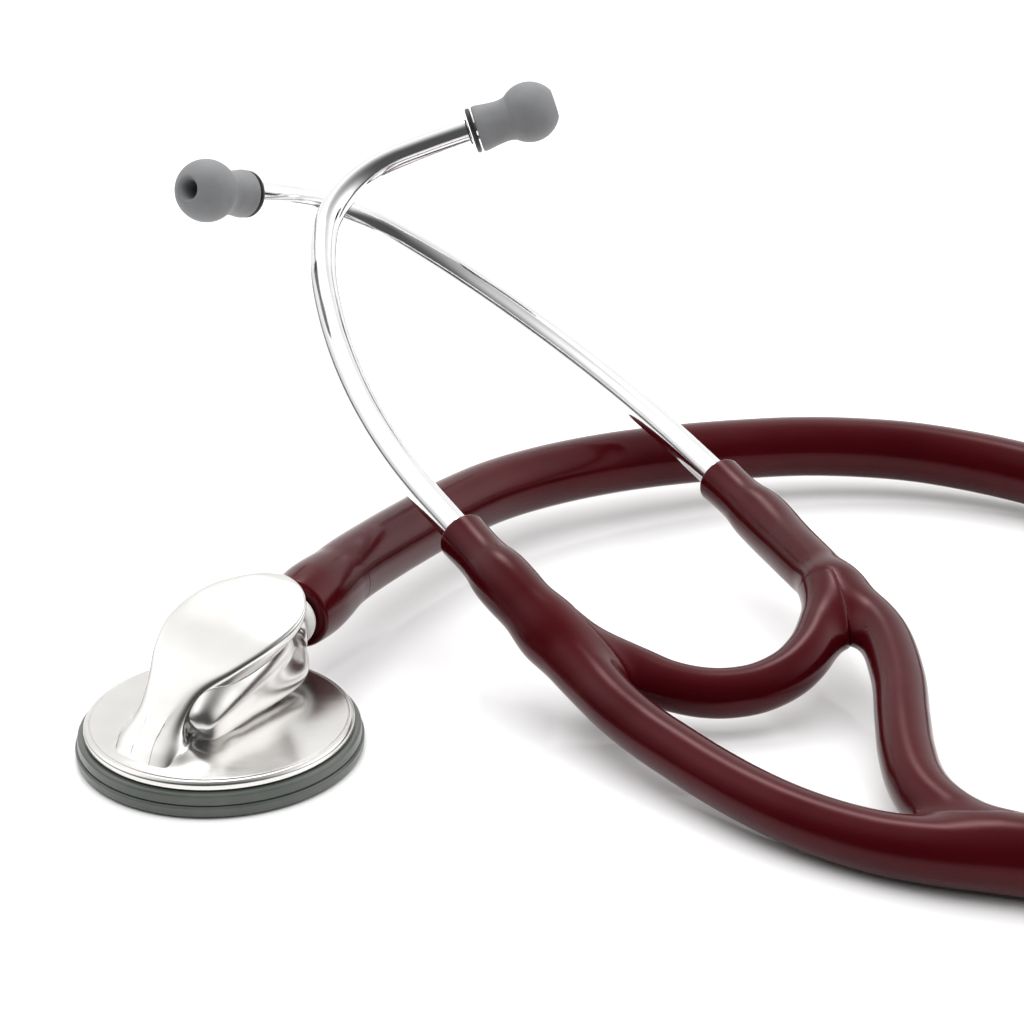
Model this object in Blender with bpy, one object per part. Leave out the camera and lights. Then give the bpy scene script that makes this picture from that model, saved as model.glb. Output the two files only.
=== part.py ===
"""Stethoscope: single-sided chestpiece lying on its rim, with a moulded tube, Y yoke and headset.

Frame: metres, +Z up. The origin is the centre of the diaphragm's face, which rests on z = 0.
Lengths below are in millimetres and are scaled by MM when a mesh is made.
"""
import math

import bmesh
import bpy
import numpy as np
from mathutils import Matrix, Vector

MM = 0.001
GAP = 0.35          # clearance kept between touching pieces

# Chestpiece
RIM_RADIUS = 23.8
CHILL_RING_RADIUS = 23.4
PLATE_RADIUS = 22.3
SKIRT_RADIUS = 20.3
RIM_HEIGHT = 1.9
RINGS_HEIGHT = 3.9
DISC_RADIUS = 17.6
DISC_THICKNESS = 0.6
CUP_RADIUS = 17.0
CUP_HEIGHT = 3.4

# Stem: its axis starts at the tube's mouth and runs back into the head
STEM_MOUTH = np.array([10.9, 20.8, 14.0])
STEM_DIRECTION = np.array([0.4, 0.9165, 0.0])
STEM_RADIUS = 3.0
STEM_BORE = 1.9
BARB_RADIUS = 3.7
SOUND_BORE = 1.6
WASHER_RADIUS = 5.4

# Tubing
MAIN_RADIUS = 6.1
ARM_RADIUS = 4.5
COVER_RADIUS = 4.25
LUMEN_RADIUS = 1.8
MOUTH_LENGTH = 17.0

# Headset: each ear tube starts at a socket mouth and is aimed by azimuth (from +Y towards -X),
# elevation and roll; it bends in its own plane through straight and round stretches
TUBE_RADIUS = 2.75
TUBE_BORE = 2.0
TUBE_INSERT = 13.0
EAR_TUBE_RUNS = [(10.0, None), (68.0, 177.0), (18.0, 86.0), (27.0, 21.5), (15.0, 202.0)]
NEAR_MOUTH = np.array([39.4, 35.9, 22.3])
NEAR_AIM = (31.4, 13.0, 24.4)
FAR_MOUTH = np.array([87.4, 70.7, 18.5])
FAR_AIM = (30.0, 11.4, 22.4)
EARTIP_RADIUS = 6.25
EARTIP_LENGTH = 18.6

# Routes of the soft tubing's centre lines
MAIN_ROUTE = [
    (19.0, 39.4, 13.9), (22.0, 45.6, 13.5), (27.0, 54.8, 13.0), (34.4, 67.0, 12.4),
    (43.4, 78.8, 12.0), (52.9, 87.4, 11.6), (63.3, 94.4, 11.2), (74.0, 99.8, 10.8),
    (85.4, 104.0, 10.4), (96.6, 107.2, 10.0), (107.9, 109.2, 9.7), (118.9, 109.6, 9.3),
    (129.6, 108.4, 8.9), (140.0, 105.2, 8.4), (150.3, 100.2, 7.9), (164.0, 91.5, 7.2),
    (180.0, 79.0, 6.6), (194.0, 64.0, 6.3), (204.0, 46.0, 6.2), (209.0, 26.0, 6.2),
    (208.5, 5.0, 6.2), (202.0, -14.0, 6.2), (190.0, -30.0, 6.2), (174.0, -41.0, 6.2),
    (156.0, -46.0, 6.2), (143.0, -46.8, 6.2), (138.55, -46.8, 6.2),
]
YOKE_END = (138.2, -46.8, 6.2)
NEAR_ROUTE = [
    (51.2, 17.4, 16.6), (54.2, 13.2, 14.4), (57.4, 9.2, 12.4), (61.3, 3.4, 10.4),
    (65.3, -3.2, 8.9), (69.8, -8.9, 7.6), (74.8, -14.8, 6.8), (79.5, -20.2, 6.2),
    (84.5, -25.6, 5.8), (89.8, -30.4, 5.4), (95.3, -34.4, 5.1), (100.8, -37.7, 5.0),
    (106.2, -40.3, 5.1), (114.0, -43.0, 5.6), (124.0, -45.1, 6.1), (131.0, -46.3, 6.2),
    (136.0, -46.8, 6.2), YOKE_END,
]
FAR_ROUTE = [
    (97.8, 50.4, 14.6), (100.7, 42.0, 14.3), (103.9, 33.2, 14.0), (107.1, 26.0, 13.5),
    (110.2, 19.3, 12.8), (111.7, 12.5, 12.0), (112.0, 2.0, 10.8), (111.1, -8.7, 9.5),
    (110.6, -17.0, 8.3), (111.0, -24.8, 7.2), (113.0, -31.2, 6.5), (117.0, -37.5, 6.2),
    (123.5, -42.5, 6.1), (131.0, -45.9, 6.2), (136.0, -46.8, 6.2), YOKE_END,
]
NEAR_CUTS = [(65.3, -3.2, 8.9), (100.8, -37.7, 5.0)]
FAR_CUTS = [(112.0, 2.0, 10.8), (111.0, -24.8, 7.2)]
COVER_ROUTE = [
    (55.5, 14.6, 13.8), (60.2, 13.0, 11.6), (65.0, 11.0, 10.2), (69.7, 8.7, 9.0),
    (74.2, 6.4, 8.0), (79.6, 5.2, 7.3), (84.8, 5.2, 7.2), (90.0, 6.6, 7.6),
    (95.2, 9.8, 8.8), (99.2, 14.8, 10.6), (101.8, 21.4, 12.4), (103.9, 29.5, 13.9),
]


def clear_scene():
    """Remove whatever the file already holds."""
    for item in list(bpy.data.objects):
        bpy.data.objects.remove(item, do_unlink=True)


def make_material(name, colour, roughness, metallic):
    """A Principled material of one colour."""
    material = bpy.data.materials.new(name)
    material.use_nodes = True
    shader = material.node_tree.nodes["Principled BSDF"]
    shader.inputs["Base Color"].default_value = (*colour, 1.0)
    shader.inputs["Roughness"].default_value = roughness
    shader.inputs["Metallic"].default_value = metallic
    return material


def unit(vector):
    return np.asarray(vector, float) / np.linalg.norm(vector)


def fine_route(points):
    """Closely spaced points on the smooth curve through the given points."""
    given = np.array(points, float)
    ghost = np.vstack([2 * given[0] - given[1], given, 2 * given[-1] - given[-2]])
    t = np.linspace(0, 1, 24, endpoint=False)[:, None]
    pieces = []
    for i in range(len(given) - 1):
        a, b, c, d = ghost[i:i + 4]
        pieces.append(0.5 * (2 * b + (c - a) * t + (2 * a - 5 * b + 4 * c - d) * t ** 2
                             + (3 * b - a - 3 * c + d) * t ** 3))
    return np.vstack(pieces + [given[-1:]])


def stretch(fine, start, stop, spacing):
    """Evenly spaced points between two distances along a fine route, with one close to each end."""
    along = along_route(fine)
    count = max(3, round((stop - start) / spacing) + 1)
    stations = np.linspace(start, stop, count)
    stations = np.sort(np.append(stations, [start + 0.3, stop - 0.3]))
    return np.stack([np.interp(stations, along, fine[:, k]) for k in range(3)], axis=1)


def smooth_route(points, spacing):
    """Evenly spaced points on the smooth curve through the given points."""
    fine = fine_route(points)
    return stretch(fine, 0.0, along_route(fine)[-1], spacing)


def split_route(points, cuts, spacing):
    """The route in pieces that stop short of each other by the gap at each cut."""
    fine = fine_route(points)
    along = along_route(fine)
    marks = [along[np.argmin(np.linalg.norm(fine - cut, axis=1))] for cut in cuts]
    starts = [0.0] + [mark + GAP / 2 for mark in marks]
    stops = [mark - GAP / 2 for mark in marks] + [along[-1]]
    return [stretch(fine, a, b, spacing) for a, b in zip(starts, stops)]


def frames(route):
    """For each point of a route, the two directions across it: sideways and upwards."""
    tangent = np.gradient(route, axis=0)
    tangent /= np.linalg.norm(tangent, axis=1)[:, None]
    side = np.cross(tangent, [0.0, 0.0, 1.0])
    side /= np.linalg.norm(side, axis=1)[:, None]
    return side, np.cross(side, tangent)


def along_route(route):
    return np.concatenate([[0], np.cumsum(np.linalg.norm(np.diff(route, axis=0), axis=1))])


def round_rings(route, radii, sides):
    """One circle across each point of a route."""
    side, up = frames(route)
    angle = np.linspace(0, 2 * math.pi, sides, endpoint=False)
    spoke = np.cos(angle)[None, :, None] * side[:, None] + np.sin(angle)[None, :, None] * up[:, None]
    return route[:, None] + spoke * np.broadcast_to(radii, len(route))[:, None, None]


def rectangle_rings(route, width, height):
    """One upright rectangle across each point of a route."""
    side, up = frames(route)
    corners = [(-1, -1), (1, -1), (1, 1), (-1, 1)]
    rings = [route + a * width / 2 * side + b * height / 2 * up for a, b in corners]
    return np.stack(rings, axis=1)


def object_from_rings(name, rings, material, closed=False):
    """Bridge each ring to the next, and close the ends with a face, or the last to the first."""
    mesh = bmesh.new()
    loops = [[mesh.verts.new(Vector(p) * MM) for p in ring] for ring in rings]
    pairs = list(zip(loops, loops[1:]))
    if closed:
        pairs.append((loops[-1], loops[0]))
    for first, second in pairs:
        for i in range(len(first)):
            j = (i + 1) % len(first)
            mesh.faces.new((first[i], first[j], second[j], second[i]))
    if not closed:
        mesh.faces.new(loops[0][::-1])
        mesh.faces.new(loops[-1])
    bmesh.ops.recalc_face_normals(mesh, faces=mesh.faces)
    if mesh.calc_volume(signed=True) < 0:
        bmesh.ops.reverse_faces(mesh, faces=mesh.faces)
    return object_from_bmesh(name, mesh, material)


def object_from_bmesh(name, mesh, material):
    data = bpy.data.meshes.new(name)
    mesh.to_mesh(data)
    mesh.free()
    data.shade_smooth()
    data.set_sharp_from_angle(angle=math.radians(35))
    if material:
        data.materials.append(material)
    item = bpy.data.objects.new(name, data)
    bpy.context.collection.objects.link(item)
    return item


def rod(name, route, radii, sides, material):
    """A solid swept along a route."""
    return object_from_rings(name, round_rings(route, radii, sides), material)


def pipe(name, route, outer, inner, sides, material):
    """A tube with an open bore: the outside runs forwards and the bore runs back."""
    outside = round_rings(route, outer, sides)
    bore = round_rings(route, inner, sides)[::-1]
    return object_from_rings(name, np.concatenate([outside, bore]), material, closed=True)


def turned(name, profile, sides, material):
    """A piece turned about Z from a closed outline of (radius, height)."""
    angle = np.linspace(0, 2 * math.pi, sides, endpoint=False)
    rings = [[(r * math.cos(a), r * math.sin(a), z) for r, z in profile] for a in angle]
    return object_from_rings(name, rings, material, closed=True)


def turned_solid(name, profile, sides, material):
    """A turned piece with no bore: its outline runs from one flat end to the other."""
    angle = np.linspace(0, 2 * math.pi, sides, endpoint=False)
    rings = [[(r * math.cos(a), r * math.sin(a), z) for a in angle] for r, z in profile]
    return object_from_rings(name, rings, material)


def combine(target, operation, others):
    """Join or cut a piece with others, and drop the others."""
    for other in others:
        modifier = target.modifiers.new(operation.lower(), "BOOLEAN")
        modifier.operation = operation
        modifier.object = other
        modifier.solver = "EXACT"
        bpy.context.view_layer.objects.active = target
        bpy.context.view_layer.update()
        with bpy.context.temp_override(object=target, active_object=target):
            bpy.ops.object.modifier_apply(modifier=modifier.name)
        bpy.data.objects.remove(other, do_unlink=True)
    target.data.shade_smooth()
    target.data.set_sharp_from_angle(angle=math.radians(35))


def stem_point(distance):
    """A point on the stem's axis, at a distance from the tube's mouth."""
    return STEM_MOUTH + unit(STEM_DIRECTION) * distance


def stem_line(*distances):
    return np.array([stem_point(d) for d in distances])


def aim_matrix(aim):
    """Columns: along the ear tube, the way it bends, and across its plane."""
    azimuth, elevation, roll = (math.radians(a) for a in aim[:3])
    forward = np.array([-math.sin(azimuth) * math.cos(elevation),
                        math.cos(azimuth) * math.cos(elevation), math.sin(elevation)])
    lateral = np.array([math.cos(azimuth), math.sin(azimuth), 0.0])
    upward = np.cross(lateral, forward)
    bend = aim[3] * lateral * math.cos(roll) + upward * math.sin(roll)
    return np.stack([forward, bend, np.cross(forward, bend)], axis=1)


def place(item, origin, axes):
    """Put a piece modelled about its own axes where it belongs."""
    matrix = Matrix([list(row) for row in axes]).to_4x4()
    matrix.translation = Vector(origin) * MM
    item.matrix_world = matrix


def ear_tube_route(step):
    """The ear tube's centre line in its own plane, from inside the socket to its end."""
    x, y, heading = -TUBE_INSERT, 0.0, 0.0
    points = [(x, y, 0.0)]
    for length, radius in [(TUBE_INSERT, None)] + EAR_TUBE_RUNS:
        pace = step if radius is None or radius > 60 else step / 2.5
        count = max(1, round(length / pace))
        turn = 0.0 if radius is None else length / radius / count
        for _ in range(count):
            heading += turn / 2
            x += length / count * math.cos(heading)
            y += length / count * math.sin(heading)
            heading += turn / 2
            points.append((x, y, 0.0))
    return np.array(points), heading


def tip_axes(axes, heading):
    """Axes at the ear tube's upper end: Z along the tip."""
    forward, bend, across = axes.T
    along = forward * math.cos(heading) + bend * math.sin(heading)
    return np.stack([across, np.cross(along, across), along], axis=1)


def build_chestpiece(materials):
    """Plate, sculpted head and stem boss as one bored casting, with its rings and disc."""
    steel = materials["steel"]
    plate = [(CUP_RADIUS, 1.35), (SKIRT_RADIUS, 1.35), (SKIRT_RADIUS, RINGS_HEIGHT + GAP),
             (PLATE_RADIUS - 0.2, RINGS_HEIGHT + GAP), (PLATE_RADIUS, RINGS_HEIGHT + 0.6),
             (PLATE_RADIUS, 5.1), (PLATE_RADIUS - 0.4, 5.5), (14.0, 6.1), (3.0, 6.5),
             (3.0, CUP_HEIGHT), (6.0, CUP_HEIGHT - 0.2)]
    body = turned("chestpiece_body", plate, 56, steel)
    core = turned_solid("core", [(3.6, CUP_HEIGHT + 0.3), (3.6, 6.4)], 20, None)
    combine(body, "UNION", [core, build_spoon(), build_boss()])
    socket = rod("socket", stem_line(-20.5, 6.0), STEM_RADIUS + 0.3, 20, None)
    riser = turned_solid("riser", [(SOUND_BORE, 2.0), (SOUND_BORE, 14.0)], 16, None)
    riser.location = Vector(stem_point(-20.0) * (1, 1, 0)) * MM
    link = rod("link", stem_line(-22.4, -19.5), SOUND_BORE, 16, None)
    combine(body, "DIFFERENCE", [riser, link, socket])

    stem = [(-19.8, STEM_RADIUS), (0.0, STEM_RADIUS), (1.0, STEM_RADIUS), (2.6, BARB_RADIUS),
            (3.0, STEM_RADIUS), (6.0, STEM_RADIUS), (7.6, BARB_RADIUS), (8.0, STEM_RADIUS),
            (11.0, STEM_RADIUS), (12.6, BARB_RADIUS), (14.5, STEM_RADIUS - 0.3)]
    line = stem_line(*[d for d, _ in stem])
    pipe("stem", line, [r for _, r in stem], STEM_BORE, 20, materials["chrome"])
    pipe("stem_washer", stem_line(-2.95, -0.35), WASHER_RADIUS, STEM_RADIUS + 0.3, 28,
         materials["washer"])

    lip = DISC_RADIUS + 3.6
    turned("retaining_rim", [(lip, 0.0), (RIM_RADIUS - 0.3, 0.0), (RIM_RADIUS, 0.3),
                             (RIM_RADIUS, RIM_HEIGHT - 0.3), (RIM_RADIUS - 0.3, RIM_HEIGHT),
                             (SKIRT_RADIUS + GAP, RIM_HEIGHT), (SKIRT_RADIUS + GAP, 1.3),
                             (lip, 1.3)], 56, materials["rim"])
    bottom = RIM_HEIGHT + GAP
    turned("chill_ring", [(SKIRT_RADIUS + GAP, bottom), (CHILL_RING_RADIUS - 0.3, bottom),
                          (CHILL_RING_RADIUS, bottom + 0.3), (CHILL_RING_RADIUS, 3.6),
                          (CHILL_RING_RADIUS - 0.3, RINGS_HEIGHT),
                          (SKIRT_RADIUS + GAP, RINGS_HEIGHT)], 56, materials["rim"])
    turned("diaphragm_surround", [(DISC_RADIUS + GAP, 0.25), (lip - GAP, 0.25), (lip - GAP, 1.0),
                                  (DISC_RADIUS + GAP, 1.0)], 56, materials["surround"])
    turned_solid("diaphragm", [(DISC_RADIUS, 0.0), (DISC_RADIUS, DISC_THICKNESS)], 56,
                 materials["diaphragm"])


def build_spoon():
    """The head's ribbon: a foot on the plate, a waist, and a tilted spoon with a flat face.

    Each station is x, y of the middle, half width, face height and how far the sides go down.
    """
    stations = [(-10.3, -17.9, 6.8, 5.9, 4.6), (-9.95, -14.4, 5.8, 7.3, 4.6),
                (-9.3, -11.4, 5.0, 9.0, 4.8), (-8.2, -8.2, 4.7, 11.6, 5.0),
                (-6.3, -4.9, 6.0, 14.6, 5.4), (-3.4, -1.7, 8.8, 17.5, 6.0),
                (0.0, 2.4, 10.8, 20.0, 9.0), (3.4, 6.4, 11.1, 21.8, 10.5),
                (6.4, 10.4, 9.4, 23.2, 12.0), (8.4, 13.4, 6.2, 24.0, 13.0),
                (9.6, 15.2, 2.8, 24.3, 14.0)]
    across = unit((0.84, -0.54, 0.0))
    up = np.array([0.0, 0.0, 1.0])
    rings = []
    for x, y, half, top, bottom in stations:
        depth = min(4.2, (top - bottom) * 0.5)
        outline = [(-0.93, top), (0.0, top + 0.15), (0.93, top), (1.0, top - 0.5),
                   (0.97, top - 0.4 * depth - 0.6), (0.72, top - depth - 0.6), (0.5, bottom),
                   (-0.5, bottom), (-0.72, top - depth - 0.6), (-0.97, top - 0.4 * depth - 0.6),
                   (-1.0, top - 0.5)]
        rings.append([np.array([x, y, 0.0]) + a * half * across + z * up for a, z in outline])
    return object_from_rings("spoon", rings, None)


def build_boss():
    """The stem boss: a teardrop that lies on the plate and swells towards the stem."""
    stations = [(-34.0, 0.8, 6.2), (-30.0, 2.5, 8.0), (-25.0, 4.2, 10.0), (-20.0, 5.8, 11.8),
                (-14.0, 7.0, 13.2), (-8.0, 7.3, 13.8), (-4.6, 6.9, 14.0), (-3.3, 5.9, 14.0)]
    route = np.array([stem_point(d) * (1, 1, 0) + (0, 0, z) for d, _, z in stations])
    return rod("boss", route, [r for _, r, _ in stations], 28, None)


def build_tubing(materials):
    """The main tube, its bored mouth, the Y yoke and the lower arms."""
    pvc = materials["pvc"]
    mouth = stem_line(0.0, 1.5, 6.0, 11.0, 14.0, MOUTH_LENGTH - GAP)
    bore = [BARB_RADIUS + 0.3] * 5 + [LUMEN_RADIUS + 1.2]
    pipe("main_tube_mouth", mouth, [6.2, 6.6, 6.9, 6.7, 6.4, MAIN_RADIUS], bore, 24, pvc)

    route = smooth_route([tuple(stem_point(MOUTH_LENGTH))] + MAIN_ROUTE, 12.0)
    curve = bpy.data.curves.new("main_tube", "CURVE")
    curve.dimensions = "3D"
    spline = curve.splines.new("POLY")
    spline.points.add(len(route) - 1)
    for point, place_at in zip(spline.points, route):
        point.co = (*(place_at * MM), 1.0)
    curve.bevel_depth = MAIN_RADIUS * MM
    curve.bevel_resolution = 4
    curve.use_fill_caps = True
    curve.materials.append(pvc)
    bpy.context.collection.objects.link(bpy.data.objects.new("main_tube", curve))

    near_lower, near_stub = split_route(NEAR_ROUTE, NEAR_CUTS, 5.0)[1:]
    far_lower, far_stub = split_route(FAR_ROUTE, FAR_CUTS, 5.0)[1:]
    far_stub = far_stub[:-2]
    yoke = rod("yoke", near_stub, np.linspace(ARM_RADIUS, MAIN_RADIUS, len(near_stub)), 20, pvc)
    branch = rod("branch", far_stub, np.linspace(ARM_RADIUS, MAIN_RADIUS - 0.4, len(far_stub)),
                 18, None)
    combine(yoke, "UNION", [branch])
    for stub in (near_stub, far_stub):
        ends = 2 * stub[[0, -1]] - stub[[1, -2]]
        longer = np.vstack([ends[0], stub, ends[1]])
        combine(yoke, "DIFFERENCE", [rod("lumen", longer, LUMEN_RADIUS, 10, None)])

    pipe("near_lower_arm", near_lower, ARM_RADIUS, LUMEN_RADIUS, 18, pvc)
    pipe("far_lower_arm", far_lower, ARM_RADIUS, LUMEN_RADIUS, 18, pvc)


def arm_line(mouth, axes, points, cuts):
    """The upper arm's centre line, from the socket's mouth down to the lower arm."""
    straight = np.array([mouth - axes[:, 0] * d for d in (0.0, 2.0, 8.0, 8.1, 13.6, 13.7, 15.5)])
    soft = split_route([tuple(straight[-1])] + points, cuts, 4.5)[0][1:]
    return np.vstack([straight, soft]), len(straight)


def build_arm(side, mouth, axes, points, cuts, materials):
    """An upper arm: a stepped socket for the ear tube and its clip, then the air lumen."""
    line, straight = arm_line(mouth, axes, points, cuts)
    soft = len(line) - straight
    swell = [ARM_RADIUS, ARM_RADIUS + 0.1, 4.7, 4.75, 5.3, 5.3, 5.35]
    outer = swell + list(np.linspace(5.3, 4.6, soft))
    tube = TUBE_RADIUS + 0.3
    clip = TUBE_RADIUS + 1.25
    inner = [tube, tube, tube, clip, clip, LUMEN_RADIUS, LUMEN_RADIUS] + [LUMEN_RADIUS] * soft
    arm = pipe(f"{side}_arm", line, outer, inner, 20, materials["pvc"])
    clip_line = np.array([mouth - axes[:, 0] * d for d in (8.4, 13.0)])
    pipe(f"{side}_spring_clip", clip_line, clip - 0.3, tube, 20, materials["steel"])
    return arm, line, outer


def build_headset(materials):
    """Arms, spring and its cover, ear tubes, nipples, washers and eartips."""
    sides = {"near": (NEAR_MOUTH, aim_matrix((*NEAR_AIM, 1)), NEAR_ROUTE, NEAR_CUTS),
             "far": (FAR_MOUTH, aim_matrix((*FAR_AIM, -1)), FAR_ROUTE, FAR_CUTS)}
    arms = {}
    for side, (mouth, axes, points, cuts) in sides.items():
        arms[side] = build_arm(side, mouth, axes, points, cuts, materials)
        build_ear_side(side, mouth, axes, materials)

    cover_line = smooth_route(COVER_ROUTE, 4.5)
    cover = pipe("spring_cover", cover_line, COVER_RADIUS, 2.8, 18, materials["pvc"])
    for side, (_, line, outer) in arms.items():
        swollen = np.array(outer[6:]) + GAP
        combine(cover, "DIFFERENCE", [rod("arm_space", line[6:], swollen, 20, None)])
    keep_largest(cover)

    leaf_line = smooth_route(COVER_ROUTE, 4.5)
    reach = slice(2, len(leaf_line) - 2)
    object_from_rings("leaf_spring", rectangle_rings(leaf_line[reach], 0.8, 4.0),
                      materials["leaf"])
    for side, (arm, _, _) in arms.items():
        slot = object_from_rings("slot", rectangle_rings(leaf_line[1:-1], 1.5, 4.7), None)
        combine(arm, "DIFFERENCE", [slot])
        keep_largest(arm)


def keep_largest(item):
    """Drop the slivers that a cut leaves loose."""
    mesh = bmesh.new()
    mesh.from_mesh(item.data)
    left = set(mesh.verts)
    islands = []
    while left:
        stack = [left.pop()]
        island = set(stack)
        while stack:
            for edge in stack.pop().link_edges:
                for vert in edge.verts:
                    if vert in left:
                        left.discard(vert)
                        island.add(vert)
                        stack.append(vert)
        islands.append(island)
    islands.sort(key=len)
    for island in islands[:-1]:
        bmesh.ops.delete(mesh, geom=list(island), context="VERTS")
    mesh.to_mesh(item.data)
    mesh.free()


def build_ear_side(side, mouth, axes, materials):
    """One ear tube with what is on its end."""
    route, heading = ear_tube_route(7.0)
    tube = pipe(f"{side}_ear_tube", route, TUBE_RADIUS, TUBE_BORE, 18, materials["chrome"])
    place(tube, mouth, axes)
    end = mouth + axes @ route[-1]
    tip = tip_axes(axes, heading)

    nipple = turned(f"{side}_nipple", [(1.3, GAP), (TUBE_RADIUS, GAP), (TUBE_RADIUS, 2.6), (2.1, 3.0),
                                       (2.1, 5.0), (2.5, 5.6), (2.1, 6.4), (2.5, 7.0), (2.1, 7.8),
                                       (1.3, 7.8)], 18, materials["chrome"])
    washer = turned(f"{side}_washer", [(3.1, 0.2), (4.7, 0.2), (4.7, 1.2), (3.1, 1.2)], 28,
                    materials["black"])
    eartip = turned(f"{side}_eartip", [
        (3.1, 1.5), (4.6, 1.5), (4.85, 2.2), (4.55, 5.0), (4.35, 7.6), (4.75, 9.4), (5.7, 10.8),
        (EARTIP_RADIUS, 13.0), (6.1, 15.2), (5.2, 17.0), (3.8, 18.2), (2.6, EARTIP_LENGTH),
        (1.9, 18.0), (1.7, 9.2), (2.9, 8.3), (2.9, 3.4), (3.1, 3.1)], 28, materials["silicone"])
    for item in (nipple, washer, eartip):
        place(item, end, tip)


def main():
    clear_scene()
    materials = {
        "steel": make_material("polished_steel", (0.72, 0.71, 0.70), 0.08, 1.0),
        "chrome": make_material("chrome_plate", (0.78, 0.78, 0.79), 0.06, 1.0),
        "leaf": make_material("spring_steel", (0.45, 0.46, 0.48), 0.3, 1.0),
        "pvc": make_material("burgundy_pvc", (0.10, 0.008, 0.016), 0.22, 0.0),
        "rim": make_material("grey_green_rim", (0.16, 0.18, 0.16), 0.45, 0.0),
        "surround": make_material("grey_surround", (0.30, 0.31, 0.30), 0.5, 0.0),
        "diaphragm": make_material("pale_diaphragm", (0.70, 0.70, 0.68), 0.35, 0.0),
        "washer": make_material("pale_washer", (0.75, 0.74, 0.72), 0.3, 0.0),
        "black": make_material("black_washer", (0.02, 0.02, 0.02), 0.4, 0.0),
        "silicone": make_material("grey_silicone", (0.20, 0.20, 0.21), 0.6, 0.0),
    }
    build_chestpiece(materials)
    build_tubing(materials)
    build_headset(materials)


main()
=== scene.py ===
"""Stethoscope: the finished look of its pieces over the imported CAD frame, as a Blender add-on.

Lengths in this file are millimetres unless a name or a docstring says otherwise. They become
metres when a mesh or a curve is made.
"""
import math

import bpy
import numpy as np
from mathutils import Matrix, Vector

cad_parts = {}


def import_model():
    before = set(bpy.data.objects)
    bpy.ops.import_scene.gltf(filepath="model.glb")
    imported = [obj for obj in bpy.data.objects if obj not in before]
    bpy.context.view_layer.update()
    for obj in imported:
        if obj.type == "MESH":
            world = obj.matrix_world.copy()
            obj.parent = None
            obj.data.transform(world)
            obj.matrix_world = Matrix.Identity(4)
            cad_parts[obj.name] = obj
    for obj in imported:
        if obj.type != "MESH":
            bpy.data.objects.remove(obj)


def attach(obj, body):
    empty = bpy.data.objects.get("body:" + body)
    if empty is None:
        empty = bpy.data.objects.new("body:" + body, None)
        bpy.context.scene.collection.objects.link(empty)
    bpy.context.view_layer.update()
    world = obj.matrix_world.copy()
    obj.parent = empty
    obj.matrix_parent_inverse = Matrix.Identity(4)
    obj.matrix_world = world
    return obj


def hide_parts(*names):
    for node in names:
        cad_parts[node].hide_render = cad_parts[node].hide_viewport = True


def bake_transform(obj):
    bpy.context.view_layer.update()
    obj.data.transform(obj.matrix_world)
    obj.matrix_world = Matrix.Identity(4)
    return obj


bl_info = {
    "name": "Stethoscope",
    "version": (1, 0, 0),
    "blender": (4, 5, 0),
    "location": "View3D > Sidebar > Stethoscope",
    "description": "Builds the stethoscope's finished pieces, its stage and its camera",
    "category": "Object",
}

MM = 0.001
TAU = 2 * math.pi

ROOT = "tubing_and_chestpiece"
YOKE_END = (138.2, -46.8, 6.2)
NEAR_ROUTE = [
    (51.2, 17.4, 16.6), (54.2, 13.2, 14.4), (57.4, 9.2, 12.4), (61.3, 3.4, 10.4),
    (65.3, -3.2, 8.9), (69.8, -8.9, 7.6), (74.8, -14.8, 6.8), (79.5, -20.2, 6.2),
    (84.5, -25.6, 5.8), (89.8, -30.4, 5.4), (95.3, -34.4, 5.1), (100.8, -37.7, 5.0),
    (106.2, -40.3, 5.1), (114.0, -43.0, 5.6), (124.0, -45.1, 6.1), (131.0, -46.3, 6.2),
    (136.0, -46.8, 6.2), YOKE_END,
]
FAR_ROUTE = [
    (97.8, 50.4, 14.6), (100.7, 42.0, 14.3), (103.9, 33.2, 14.0), (107.1, 26.0, 13.5),
    (110.2, 19.3, 12.8), (111.7, 12.5, 12.0), (112.0, 2.0, 10.8), (111.1, -8.7, 9.5),
    (110.6, -17.0, 8.3), (111.0, -24.8, 7.2), (113.0, -31.2, 6.5), (117.0, -37.5, 6.2),
    (123.5, -42.5, 6.1), (131.0, -45.9, 6.2), (136.0, -46.8, 6.2), YOKE_END,
]
COVER_ROUTE = [
    (55.5, 14.6, 13.8), (60.2, 13.0, 11.6), (65.0, 11.0, 10.2), (69.7, 8.7, 9.0),
    (74.2, 6.4, 8.0), (79.6, 5.2, 7.3), (84.8, 5.2, 7.2), (90.0, 6.6, 7.6),
    (95.2, 9.8, 8.8), (99.2, 14.8, 10.6), (101.8, 21.4, 12.4), (103.9, 29.5, 13.9),
]
MAIN_ROUTE = [
    (19.0, 39.4, 13.9), (22.0, 45.6, 13.5), (27.0, 54.8, 13.0), (34.4, 67.0, 12.4),
    (43.4, 78.8, 12.0), (52.9, 87.4, 11.6), (63.3, 94.4, 11.2), (74.0, 99.8, 10.8),
    (85.4, 104.0, 10.4), (96.6, 107.2, 10.0), (107.9, 109.2, 9.7), (118.9, 109.6, 9.3),
    (129.6, 108.4, 8.9), (140.0, 105.2, 8.4), (150.3, 100.2, 7.9), (164.0, 91.5, 7.2),
    (180.0, 79.0, 6.6), (194.0, 64.0, 6.3), (204.0, 46.0, 6.2), (209.0, 26.0, 6.2),
    (208.5, 5.0, 6.2), (202.0, -14.0, 6.2), (190.0, -30.0, 6.2), (174.0, -41.0, 6.2),
    (156.0, -46.0, 6.2), (143.0, -46.8, 6.2), (138.2, -46.8, 6.2),
]
STEM_MOUTH = np.array([10.9, 20.8, 14.0])
STEM_DIRECTION = np.array([0.4, 0.9165, 0.0])
EAR_TUBE_RUNS = [(10.0, None), (68.0, 177.0), (18.0, 86.0), (27.0, 21.5), (15.0, 202.0)]
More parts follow.
